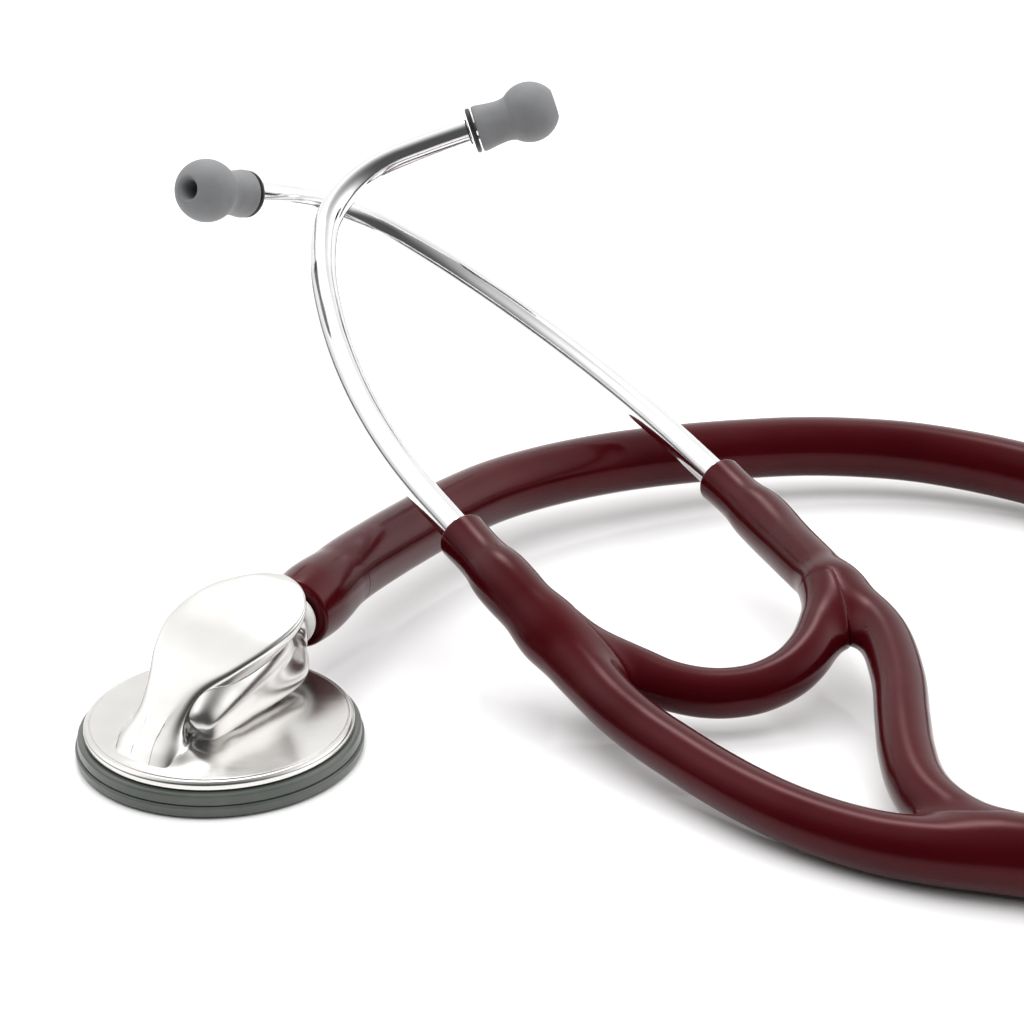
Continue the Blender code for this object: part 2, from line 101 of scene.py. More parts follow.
EAR_SIDES = {
    "near": (np.array([39.4, 35.9, 22.3]), (31.4, 13.0, 24.4, 1)),
    "far": (np.array([87.4, 70.7, 18.5]), (30.0, 11.4, 22.4, -1)),
}


# Shapes


def unit(vectors):
    return vectors / np.maximum(np.linalg.norm(vectors, axis=-1, keepdims=True), 1e-12)


def lengths(route):
    """Distance along a route at each of its points."""
    return np.concatenate([[0], np.cumsum(np.linalg.norm(np.diff(route, axis=0), axis=1))])


def smooth(points, step=0.6):
    """Points a step apart on the Catmull-Rom curve through the given rows, of any width.

    Between rows b and c, with neighbours a and d, the curve is the cubic
    (2b + (c - a)t + (2a - 5b + 4c - d)t^2 + (3b - a - 3c + d)t^3) / 2.
    """
    given = np.array(points, float)
    ghost = np.vstack([2 * given[0] - given[1], given, 2 * given[-1] - given[-2]])
    a, b, c, d = (ghost[i:len(given) - 1 + i, None] for i in range(4))
    t = np.linspace(0, 1, 40, endpoint=False)[None, :, None]
    curve = (2 * b + (c - a) * t + (2 * a - 5 * b + 4 * c - d) * t ** 2
             + (3 * b - a - 3 * c + d) * t ** 3) / 2
    fine = np.vstack([curve.reshape(-1, given.shape[1]), given[-1:]])
    along = lengths(fine[:, :3])
    stations = np.linspace(0, along[-1], max(2, round(along[-1] / step) + 1))
    return np.stack([np.interp(stations, along, column) for column in fine.T], axis=1)


def contour(corners, step=1.0):
    """An outline of (distance, radius) through corners, each with its own rounding.

    Each corner gives distance, radius and how far back its rounding starts: there the line turns
    along the parabola (1-t)^2 p + 2t(1-t) q + t^2 r. Straight stretches are divided by the step.
    """
    corners = np.array(corners, float)
    points = corners[:, :2]
    pieces = [points[:1]]
    t = np.linspace(0, 1, 7)[:, None]
    for i in range(1, len(points) - 1):
        back, ahead = points[i - 1] - points[i], points[i + 1] - points[i]
        cut = min(corners[i, 2], 0.49 * np.linalg.norm(back), 0.49 * np.linalg.norm(ahead))
        p, r = points[i] + cut * unit(back), points[i] + cut * unit(ahead)
        pieces.append((1 - t) ** 2 * p + 2 * t * (1 - t) * points[i] + t ** 2 * r)
    pieces.append(points[-1:])
    line = np.vstack(pieces)
    whole = [line[:1]]
    for a, b in zip(line, line[1:]):
        count = max(1, math.ceil(np.linalg.norm(b - a) / step))
        whole.append(a + (b - a) * np.linspace(0, 1, count + 1)[1:, None])
    return np.vstack(whole)


def route_frames(route, up):
    """Direction along a route, sideways across it, and square to both."""
    forward = unit(np.gradient(route, axis=0))
    side = unit(np.cross(forward, np.asarray(up, float)))
    return forward, side, np.cross(side, forward)


def swept(route, outline, sides, up=(0, 0, 1), start=0.0, squash=1.0):
    """A grid of circles about a route: one for each (distance, radius) of the outline.

    A point is the route's point at that distance, plus radius times (cos a * sideways
    + sin a * upwards), for angles a equally spaced round the route. The outline may turn back.
    """
    along = lengths(route)
    forward, side, upward = route_frames(route, up)
    distance, radius = outline[:, 0] - start, outline[:, 1]
    inside = np.clip(distance, 0, along[-1])

    def pick(values):
        return np.stack([np.interp(inside, along, column) for column in values.T], axis=1)

    forward, side, upward = unit(pick(forward)), unit(pick(side)), unit(pick(upward))
    centre = pick(route) + (distance - inside)[:, None] * forward
    angle = np.linspace(0, TAU, sides, endpoint=False)[None, :, None]
    spoke = np.cos(angle) * side[:, None] + squash * np.sin(angle) * upward[:, None]
    return centre[:, None] + radius[:, None, None] * spoke


def grid_normals(grid):
    """The direction square to the grid at each point: its row slope crossed with its column slope."""
    rows = np.gradient(grid, axis=0)
    columns = np.roll(grid, -1, axis=1) - np.roll(grid, 1, axis=1)
    return unit(np.cross(columns, rows))


def distance_to(points, route):
    """Shortest distance from each point to a route's points, by |p|^2 - 2pq + |q|^2."""
    flat = points.reshape(-1, 3)
    squared = (flat ** 2).sum(1)[:, None] - 2 * flat @ route.T + (route ** 2).sum(1)[None]
    return np.sqrt(np.maximum(squared.min(1), 0)).reshape(points.shape[:-1])


def melted(grid, gap, reach, out=None):
    """The grid swollen where it nears another surface, as when both are cast in one.

    Each point moves out by reach/4 * (1 - (d - lift)/reach)^2, where d is its gap from the other
    surface and lift its own movement so far. That is the smooth minimum of the two.
    """
    if out is None:
        out = grid_normals(grid)
        if ((grid - grid.mean(1, keepdims=True)) * out).sum() < 0:
            out = -out
    lift = np.zeros(grid.shape[:2])
    for _ in range(5):
        beyond = gap(grid + lift[..., None] * out)
        lift = reach / 4 * np.clip(1 - (beyond - lift) / reach, 0, 1) ** 2
    return grid + lift[..., None] * out


def moulded(grid, route, radius, reach):
    """The grid melted into a tube about another route."""
    return melted(grid, lambda points: distance_to(points, route) - radius, reach)


def skin(name, grid, finish, ends=True, normals=None, loop=False):
    """A mesh over a grid that closes round on itself, with a face on each end ring.

    A loop joins its last ring to its first instead. U runs along the rows and V round the
    columns, both from 0 to 1.
    """
    rows, columns = grid.shape[:2]
    index = np.arange(rows * columns).reshape(rows, columns)
    if loop:
        index = np.vstack([index, index[:1]])
        rows += 1
    beside = np.roll(index, -1, axis=1)
    quads = np.stack([index[:-1], beside[:-1], beside[1:], index[1:]], -1).reshape(-1, 4)
    faces = quads.tolist()
    if ends and not loop:
        faces += [index[0, ::-1].tolist(), index[-1].tolist()]
    name = "finished_" + name.replace(" ", "_")
    mesh = bpy.data.meshes.new(name)
    mesh.from_pydata((grid.reshape(-1, 3) * MM).tolist(), [], faces)
    i, j = np.divmod(np.arange(len(quads)), columns)
    u = np.stack([i, i, i + 1, i + 1], 1) / (rows - 1)
    v = np.stack([j, j + 1, j + 1, j], 1) / columns
    chart = np.zeros((len(mesh.loops), 2))
    chart[:quads.size] = np.stack([u.ravel(), v.ravel()], 1)
    mesh.uv_layers.new(name="UVMap").data.foreach_set("uv", chart.ravel())
    corners = grid.reshape(-1, 3)[quads]
    volume = (corners[:, 0] * np.cross(corners[:, 1], corners[:, 2])
              + corners[:, 0] * np.cross(corners[:, 2], corners[:, 3])).sum()
    if volume < 0:
        mesh.flip_normals()
    mesh.shade_smooth()
    if normals is not None:
        mesh.normals_split_custom_set_from_vertices(normals.reshape(-1, 3).tolist())
    mesh.materials.append(finish)
    piece = bpy.data.objects.new(name, mesh)
    bpy.context.collection.objects.link(piece)
    return piece


def turned(name, origin, axes, outline, sides, finish):
    """A ring turned about axes' third column from a closed outline of (distance, radius)."""
    line = np.array([origin + axes[:, 2] * d for d in (0.0, 10.0)])
    grid = swept(line, outline, sides, up=axes[:, 1])
    return skin(name, grid, finish, loop=True)


# Finishes


class Wire:
    """A node's output, which adds, subtracts, multiplies and divides as a number does."""

    def __init__(self, tree, socket):
        self.tree = tree
        self.socket = socket

    def joined(self, operation, first, second):
        node = self.tree.nodes.new("ShaderNodeMath")
        node.operation = operation
        feed(self.tree, node.inputs[0], first)
        feed(self.tree, node.inputs[1], second)
        return Wire(self.tree, node.outputs[0])

    def __add__(self, other):
        return self.joined("ADD", self, other)

    def __radd__(self, other):
        return self.joined("ADD", other, self)

    def __sub__(self, other):
        return self.joined("SUBTRACT", self, other)

    def __rsub__(self, other):
        return self.joined("SUBTRACT", other, self)

    def __mul__(self, other):
        return self.joined("MULTIPLY", self, other)

    def __rmul__(self, other):
        return self.joined("MULTIPLY", other, self)

    def __truediv__(self, other):
        return self.joined("DIVIDE", self, other)

    def __rtruediv__(self, other):
        return self.joined("DIVIDE", other, self)

    def __pow__(self, other):
        return self.joined("POWER", self, other)


def feed(tree, socket, value):
    """Join a wire to a socket, or set the socket to a plain value."""
    if isinstance(value, Wire):
        tree.links.new(value.socket, socket)
    else:
        socket.default_value = value


class Finish:
    """The node tree of a material on one Principled shader, or of a world."""

    def __init__(self, name, world=False):
        made = bpy.data.worlds if world else bpy.data.materials
        self.material = made.new(name)
        self.material.use_nodes = True
        self.tree = self.material.node_tree
        self.shader = self.tree.nodes["Background" if world else "Principled BSDF"]

    def make(self, kind, settings, inputs, output=0):
        """A node of any kind: its settings are given first, then its inputs, then it is wired."""
        node = self.tree.nodes.new(kind)
        for key, value in settings.items():
            setattr(node, key, value)
        for key, value in inputs.items():
            feed(self.tree, node.inputs[key], value)
        return Wire(self.tree, node.outputs[output])

    def set(self, **inputs):
        """Feed the shader's own inputs, named with _ for a space."""
        for key, value in inputs.items():
            feed(self.tree, self.shader.inputs[key.replace("_", " ")], value)
        return self.material


def grain(finish, scale, detail=3.0, stretch=(1, 1, 1), where="Object"):
    """Noise from 0 to 1, scale cells to the metre, drawn out along an axis by its stretch."""
    spot = finish.make("ShaderNodeTexCoord", {}, {}, where)
    spot = finish.make("ShaderNodeVectorMath", {"operation": "MULTIPLY"}, {0: spot, 1: stretch})
    return finish.make("ShaderNodeTexNoise", {}, {"Vector": spot, "Scale": scale,
                                                  "Detail": detail})


def spread(finish, value, low, high):
    """The middle of a noise, from 0.3 to 0.7, stretched to run from low to high."""
    return finish.make("ShaderNodeMapRange", {}, {"Value": value, "From Min": 0.3, "From Max": 0.7,
                                                  "To Min": low, "To Max": high})


def tint(finish, factor, first, second):
    """One colour turning to another as the factor goes from 0 to 1."""
    return finish.make("ShaderNodeMix", {"data_type": "RGBA"},
                       {0: factor, 6: (*first, 1), 7: (*second, 1)}, 2)


def relief(finish, height, strength, distance):
    """A bump of a given strength and depth in metres."""
    return finish.make("ShaderNodeBump", {}, {"Strength": strength, "Distance": distance,
                                              "Height": height})


def pvc_finish():
    """Soft glossy moulded PVC: deep burgundy, with faint cloudiness, smears and flow ripples."""
    f = Finish("burgundy pvc")
    cloud = spread(f, grain(f, 60.0, 2.0), 0.0, 1.0)
    smear = spread(f, grain(f, 140.0, 4.0, (1.0, 1.0, 2.5)), 0.0, 1.0)
    ripple = grain(f, 420.0, 2.0)
    return f.set(Base_Color=tint(f, cloud, (0.034, 0.0010, 0.0024), (0.046, 0.0018, 0.0036)),
                 Roughness=0.16 + 0.07 * smear, IOR=1.34, Coat_Weight=0.03 + 0.05 * smear,
                 Coat_Roughness=0.08, Coat_Tint=(1.0, 0.72, 0.74, 1.0),
                 Specular_Tint=(1.0, 0.42, 0.46, 1.0), Normal=relief(f, ripple, 0.05, 0.0003))


def steel_finish():
    """Satin polished cast steel: near white, with polishing haze and hair lines."""
    f = Finish("polished steel")
    haze = spread(f, grain(f, 90.0, 3.0), 0.0, 1.0)
    hair = spread(f, grain(f, 260.0, 4.0, (0.3, 6.0, 6.0)), 0.0, 1.0)
    return f.set(Base_Color=tint(f, haze, (0.68, 0.67, 0.655), (0.74, 0.73, 0.72)), Metallic=1.0,
                 Roughness=0.17 + 0.05 * haze + 0.02 * hair,
                 Normal=relief(f, haze, 0.06, 0.0003))


def chrome_finish():
    """Chrome plate on drawn tube, with faint lines along the draw."""
    f = Finish("chrome plate")
    haze = spread(f, grain(f, 120.0, 3.0), 0.0, 1.0)
    lines = spread(f, grain(f, 9.0, 2.0, (0.5, 24.0, 1.0), "UV"), 0.0, 1.0)
    return f.set(Base_Color=tint(f, haze, (0.80, 0.80, 0.81), (0.88, 0.88, 0.885)), Metallic=1.0,
                 Roughness=0.04 + 0.03 * haze + 0.02 * lines,
                 Normal=relief(f, lines, 0.03, 0.0002))


def silicone_finish():
    """Soft matte grey silicone with a fine powdery bloom."""
    f = Finish("grey silicone")
    bloom = spread(f, grain(f, 220.0, 4.0), 0.0, 1.0)
    pore = grain(f, 3000.0, 2.0)
    return f.set(Base_Color=tint(f, bloom, (0.165, 0.168, 0.175), (0.205, 0.208, 0.213)),
                 Roughness=0.52 + 0.12 * bloom, Normal=relief(f, pore, 0.15, 0.0001))


def rim_finish():
    """Satin grey-green moulded rim."""
    f = Finish("grey green rim")
    cloud = spread(f, grain(f, 150.0, 3.0), 0.0, 1.0)
    pore = grain(f, 2400.0, 2.0)
    return f.set(Base_Color=tint(f, cloud, (0.060, 0.069, 0.060), (0.085, 0.094, 0.083)),
                 Roughness=0.30 + 0.12 * cloud, Coat_Weight=0.2,
                 Normal=relief(f, pore, 0.10, 0.00008))


def sheet_finish(name, first, second):
    """A thin pale or grey sheet with a woven feel, for the diaphragm, its edge and the washers."""
    f = Finish(name)
    weave = spread(f, grain(f, 1800.0, 2.0, (1, 1, 0)), 0.0, 1.0)
    return f.set(Base_Color=tint(f, weave, first, second), Roughness=0.30 + 0.15 * weave,
                 Normal=relief(f, weave, 0.12, 0.00005))


def floor_finish():
    """A pale table top, faintly uneven in its gloss."""
    f = Finish("pale table")
    uneven = spread(f, grain(f, 8.0, 2.0), 0.0, 1.0)
    return f.set(Base_Color=tint(f, uneven, (0.88, 0.88, 0.885), (0.90, 0.90, 0.90)),
                 Roughness=0.05 + 0.02 * uneven, IOR=1.45)


def finish_named(name):
    """The finish of that name, made once."""
    found = bpy.data.materials.get(name)
    return found or MAKERS[name]()


MAKERS = {
    "burgundy pvc": pvc_finish,
    "polished steel": steel_finish,
    "chrome plate": chrome_finish,
    "grey silicone": silicone_finish,
    "grey green rim": rim_finish,
    "pale sheet": lambda: sheet_finish("pale sheet", (0.66, 0.66, 0.63), (0.74, 0.74, 0.72)),
    "grey edge": lambda: sheet_finish("grey edge", (0.25, 0.26, 0.25), (0.32, 0.33, 0.32)),
    "black edge": lambda: sheet_finish("black edge", (0.010, 0.010, 0.010), (0.02, 0.02, 0.02)),
    "pale table": floor_finish,
}
CAD_FINISHES = {
    "stem": "chrome plate", "near_nipple": "chrome plate", "far_nipple": "chrome plate",
    "near_spring_clip": "polished steel", "far_spring_clip": "polished steel",
}


# Pieces


def upright(*corners, step=0.5):
    """An outline for a piece turned about Z, from corners of radius, height and rounding."""
    return contour([(z, r, c) for r, z, c in corners], step)


def plate_grid():
    """The plate: a flange over the rings with a bevelled edge, rising gently to the middle."""
    outline = upright((17.0, 1.4, 0), (20.3, 1.4, 0.2), (20.3, 4.3, 0.1),
                      (22.3, 4.32, 0.1), (22.25, 5.25, 0.25), (21.75, 5.58, 0.2),
                      (21.4, 5.62, 0.04), (21.35, 5.54, 0.04), (21.2, 5.54, 0.04),
                      (21.15, 5.66, 0.04), (14.0, 6.15, 4.0), (6.0, 6.6, 3.0), (0.05, 6.75, 0))
    line = np.array([[0.0, 0.0, 0.0], [0.0, 0.0, 10.0]])
    return swept(line, outline, 192, up=(0, 1, 0))


SPOON_STATIONS = [
    (-12.0, -18.6, 6.6, 5.0, 3.4, 2.4), (-11.6, -17.4, 6.4, 5.25, 3.4, 2.4),
    (-11.0, -15.8, 6.0, 5.8, 3.6, 2.3), (-10.4, -13.8, 5.5, 6.8, 3.9, 2.1),
    (-9.5, -11.2, 5.0, 8.6, 4.6, 1.8),
    (-8.1, -8.2, 4.7, 11.6, 5.0, 1.1), (-6.35, -4.9, 5.6, 14.5, 5.6, 0.8),
    (-3.4, -1.7, 8.5, 17.4, 7.5, 0.55), (0.0, 2.4, 10.75, 19.9, 9.4, 0.5),
    (3.4, 6.4, 11.1, 21.7, 10.8, 0.5), (6.0, 9.7, 9.9, 22.9, 11.8, 0.5),
    (7.8, 12.2, 7.6, 23.6, 12.6, 0.5), (8.9, 13.7, 5.4, 24.0, 13.2, 0.5),
    (9.6, 14.7, 3.2, 24.15, 13.7, 0.45), (9.95, 15.2, 1.4, 24.2, 14.0, 0.4),
    (10.05, 15.35, 0.3, 24.2, 14.2, 0.3),
]
SPOON_SIDEWAYS = np.array([0.8412, -0.5407, 0.0])


def plate_height(points):
    """How far points stand over the plate's top, which falls from 6.75 at its middle."""
    radius = np.hypot(points[..., 0], points[..., 1])
    top = np.interp(radius, [0.0, 6.0, 14.0, 21.0, 22.2], [6.75, 6.6, 6.15, 5.65, 5.3])
    return points[..., 2] - top


def inside_edge(points):
    """One in the middle of the plate, falling to nought from radius 15 to its edge at 21."""
    t = np.clip((21.0 - np.hypot(points[..., 0], points[..., 1])) / 6.0, 0, 1)
    return t * t * (3 - 2 * t)


def neck_gap(points):
    """Distance from the head's foot and neck, as from a box at each of their sections.

    At a section the box is its half width across, a step along and its softened top: outside, the
    distance is the root of the squares of what is left beyond it, and inside the least depth.
    """
    spine = smooth(SPOON_STATIONS[:7], 0.4)
    forward = unit(np.gradient(spine[:, :2], axis=0))
    apart = points[..., :2].reshape(-1, 1, 2) - spine[None, :, :2]
    along = np.abs((apart * forward).sum(-1)) - 0.3
    beside = np.abs(apart @ SPOON_SIDEWAYS[:2]) - spine[None, :, 2]
    above = points[..., 2].reshape(-1, 1) - (spine[:, 3] - 0.3 * spine[:, 5])
    box = np.stack([along, beside, above])
    gap = np.linalg.norm(np.maximum(box, 0), axis=0) + np.minimum(box.max(0), 0)
    return gap.min(1).reshape(points.shape[:-1])


def spoon_grid():
    """The head's ribbon: closed sections along a spine that climbs from the plate to the spoon.

    Each section is the closed quadratic B-spline of control points given across in half widths
    and up from the section's floor. Its top is flat, its edges crisp on the spoon and soft on the
    foot, and below them it tapers into the boss.
    """
    spine = smooth(SPOON_STATIONS, 0.3)
    x, y, half, top, floor, soft = spine.T
    deep = np.minimum(3.8, 0.45 * (top - floor))
    edge = np.clip(2.0 * soft / np.maximum(half, 0.9), 0, 0.75)
    drop = np.minimum(soft, 0.3 * (top - floor))
    whole = np.ones_like(x)
    neck = np.clip((12.5 - top) / 4, 0, 1)
    lower = whole - 0.04 * (1 - neck)
    across = np.stack([0 * x, 0.4 * whole, 1 - edge, 1 - 0.3 * edge, whole, whole, lower,
                       0.80 + 0.20 * neck, 0.55 + 0.45 * neck, 0.42 * whole], 1)
    height = np.stack([top, top, top - 0.04 * drop, top - 0.25 * drop, top - 0.8 * drop,
                       top - 1.9 * drop, top - 0.35 * deep - 1.9 * drop,
                       top - deep - 1.2 * drop, 0.5 * (floor + top - deep), floor], 1)
    height = np.maximum(height, floor[:, None])
    across = np.concatenate([across, -across[:, :0:-1]], 1)
    height = np.concatenate([height, height[:, :0:-1]], 1)
    t = np.linspace(0, 1, 8, endpoint=False)

    def rounded(values):
        before = (np.roll(values, 1, axis=1) + values)[..., None] / 2
        after = (values + np.roll(values, -1, axis=1))[..., None] / 2
        curve = (1 - t) ** 2 * before + 2 * t * (1 - t) * values[..., None] + t ** 2 * after
        return curve.reshape(len(values), -1)

    base = np.stack([x, y, 0 * x], 1)[:, None]
    reach = (rounded(across) * half[:, None])[..., None] * SPOON_SIDEWAYS
    grid = base + reach + rounded(height)[..., None] * np.array([0.0, 0.0, 1.0])
    out = grid_normals(grid)
    if (out[..., 2] * (grid[..., 2] - grid[..., 2].mean(1, keepdims=True))).sum() < 0:
        out = -out
    foot = (np.clip((14.0 - top) / 4, 0, 1)[:, None] * inside_edge(grid))[..., None]
    grid = grid + foot * (melted(grid, plate_height, 6.0, out) - grid)
    radius = np.hypot(grid[..., 0], grid[..., 1])
    grid[..., :2] *= np.minimum(1, 20.9 / np.maximum(radius, 1))[..., None]
    return grid


BOSS_STATIONS = [
    (-35.2, 1.0, 9.6, 0.3, 0.0), (-34.8, 1.0, 9.6, 1.8, 0.0), (-33.8, 1.0, 9.8, 2.7, 0.0),
    (-31.5, 0.9, 10.3, 3.5, 0.0), (-28.0, 0.6, 11.0, 4.5, 0.0), (-24.0, 0.4, 11.9, 5.5, 0.0),
    (-19.0, 0.2, 12.6, 6.3, 0.15), (-14.0, -0.2, 13.0, 6.5, 0.42), (-10.0, -0.8, 13.3, 6.1, 0.75),
    (-7.0, -1.6, 13.7, 5.4, 0.95), (-4.6, -1.7, 14.0, 5.0, 0.60), (-3.3, -0.8, 14.0, 4.9, 0.1),
]


def boss_grid():
    """The stem boss: a blunt teardrop, round above and upright below, that flares to the plate.

    Its stations are distance along the stem's line, offset across it, height, radius and flare.
    At angle a the section is the superellipse |cos a|^n + |sin a|^n, where n grows from 2 above
    to 4.5 below. Its width is multiplied by 1 + flare * max(0, -sin a).
    """
    forward = unit(STEM_DIRECTION)
    across = np.array([forward[1], -forward[0], 0.0])
    given = [(*(STEM_MOUTH + forward * t + across * side)[:2], *rest)
             for t, side, *rest in BOSS_STATIONS]
    line = smooth(given, 0.3)
    angle = np.linspace(0, TAU, 96, endpoint=False)[None]
    cosine, sine = np.cos(angle), np.sin(angle)
    low = np.clip(-sine, 0, 1)
    power = 2 + 2.5 * np.clip(3 * low, 0, 1)
    reach = line[:, 3:4] * (np.abs(cosine) ** power + np.abs(sine) ** power) ** (-1 / power)
    width = reach * (1 + line[:, 4:5] * low) * cosine
    rise = (reach * sine)[..., None] * np.array([0.0, 0.0, 1.0])
    return line[:, None, :3] + width[..., None] * across + rise


def build_chestpiece():
    """Plate, head, boss and the rings and sheets under them."""
    steel = finish_named("polished steel")
    rim = finish_named("grey green rim")
    boss = boss_grid()
    spoon = spoon_grid()
    plate = plate_grid()
    upward = np.zeros_like(plate)
    upward[..., 2] = plate[..., 2] > 5.5
    plate = plate + inside_edge(plate)[..., None] * (melted(plate, neck_gap, 6.0, upward) - plate)
    body = skin("chestpiece plate", plate, steel)
    parts = [body, skin("chestpiece head", spoon, steel), skin("chestpiece boss", boss, steel)]
    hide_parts("chestpiece_body")

    line = np.array([[0.0, 0.0, 0.0], [0.0, 0.0, 10.0]])

    def ring(name, node, outline, finish, loop=True):
        grid = swept(line, outline, 192, up=(0, 1, 0))
        piece = skin(name, grid, finish_named(finish), loop=loop)
        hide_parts(node)
        return piece

    parts.append(ring("retaining rim", "retaining_rim", upright(
        (21.2, 0.0, 0), (23.3, 0.0, 0.35), (23.75, 0.5, 0.3), (23.8, 1.8, 0.15), (23.6, 2.0, 0.12),
        (20.65, 2.0, 0.1), (20.65, 1.3, 0.05), (21.2, 1.3, 0)), "grey green rim"))
    parts.append(ring("upper ring", "chill_ring", upright(
        (20.65, 2.1, 0), (23.3, 2.1, 0.1), (23.45, 2.25, 0.1), (23.3, 3.7, 0.15),
        (22.95, 4.0, 0.15), (20.65, 4.0, 0)), "grey green rim"))
    parts.append(ring("diaphragm edge", "diaphragm_surround", upright(
        (17.95, 0.25, 0), (18.4, 0.25, 0.1), (19.4, 0.55, 0.4), (20.4, 0.3, 0.3),
        (20.85, 0.3, 0.05), (20.85, 0.95, 0.05), (17.95, 0.95, 0)), "grey edge"))
    for piece in parts:
        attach(piece, ROOT)
    disc = ring("diaphragm sheet", "diaphragm", upright(
        (0.05, 0.0, 0), (17.3, 0.0, 0.2), (17.6, 0.12, 0.1), (17.6, 0.6, 0.05), (0.05, 0.6, 0)),
        "pale sheet", loop=False)
    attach(disc, "diaphragm_disc")

    direction = unit(STEM_DIRECTION)
    line = np.array([STEM_MOUTH - 3.2 * direction, STEM_MOUTH + 2 * direction])
    outline = contour([(0.1, 3.3, 0), (0.1, 4.2, 0.4), (1.4, 4.9, 0.5), (2.7, 4.5, 0.4),
                       (2.75, 3.3, 0)], 0.3)
    washer = skin("stem collar", swept(line, outline, 96), finish_named("pale sheet"), loop=True)
    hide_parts("stem_washer")
    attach(washer, ROOT)
    return parts + [disc, washer]


def build_main_tube(radius):
    """The tube's bored mouth over the stem's barbs, and the tube itself as a free cord."""
    pvc = finish_named("burgundy pvc")
    direction = unit(STEM_DIRECTION)
    line = np.array([STEM_MOUTH, STEM_MOUTH + 17 * direction])
    outline = contour([(6.0, 3.9, 0), (0.35, 3.9, 0.3), (0.0, 4.3, 0.2), (0.0, 5.7, 0.5),
                       (0.5, 6.25, 0.5), (2.4, 6.5, 1.0), (6.5, 6.85, 2.5), (11.0, 6.6, 2.5),
                       (15.0, radius + 0.05, 2.0), (17.0, radius, 0), (17.0, 3.2, 0)], 0.5)
    mouth = skin("tube mouth", swept(line, outline, 96), pvc)
    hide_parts("main_tube_mouth")
    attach(mouth, ROOT)

    route = smooth([tuple(STEM_MOUTH + 16.9 * direction)] + MAIN_ROUTE, 2.0)
    curve = bpy.data.curves.new("main tube", "CURVE")
    curve.dimensions = "3D"
    spline = curve.splines.new("POLY")
    spline.points.add(len(route) - 1)
    spline.points.foreach_set("co", np.column_stack([route * MM, np.ones(len(route))]).ravel())
    spline.use_smooth = True
    curve.bevel_depth = radius * MM
    curve.bevel_resolution = 14
    curve.use_fill_caps = True
    curve.materials.append(pvc)
    tube = bpy.data.objects.new("finished_main_tube", curve)
    bpy.context.collection.objects.link(tube)
    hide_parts("main_tube")
    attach(tube, ROOT)
    return [mouth, tube]


def ear_axes(aim):
    """Columns: along the ear tube at its socket, the way it bends, and across its plane.

    The aim is azimuth from +Y towards -X, elevation and roll in degrees, and the side it bends to.
    """
    azimuth, elevation, roll = (math.radians(a) for a in aim[:3])
    forward = np.array([-math.sin(azimuth) * math.cos(elevation),
                        math.cos(azimuth) * math.cos(elevation), math.sin(elevation)])
    lateral = np.array([math.cos(azimuth), math.sin(azimuth), 0.0])
    bend = (aim[3] * math.cos(roll) * lateral
            + math.sin(roll) * np.cross(lateral, forward))
    return np.stack([forward, bend, np.cross(forward, bend)], axis=1)


def ear_route(insert=13.0, step=0.5):
    """The ear tube's line in its own plane: the heading is the running sum of step over radius."""
    runs = [(insert, None)] + EAR_TUBE_RUNS
    bends = np.concatenate([np.full(round(length / step), 0.0 if radius is None else step / radius)
                            for length, radius in runs])
    heading = np.concatenate([[0.0], np.cumsum(bends)])
    middle = (heading[1:] + heading[:-1]) / 2
    x = np.concatenate([[0.0], np.cumsum(step * np.cos(middle))]) - insert
    y = np.concatenate([[0.0], np.cumsum(step * np.sin(middle))])
    return np.stack([x, y, np.zeros_like(x)], axis=1), heading[-1]


def arm_route(side):
    """An arm's line from its socket's mouth, straight at first, down to the yoke's end."""
    mouth, aim = EAR_SIDES[side]
    forward = ear_axes(aim)[:, 0]
    points = NEAR_ROUTE if side == "near" else FAR_ROUTE
    start = [tuple(mouth - forward * d) for d in (0.0, 5.0, 10.0, 15.5)]
    return smooth(start + points, 0.5)


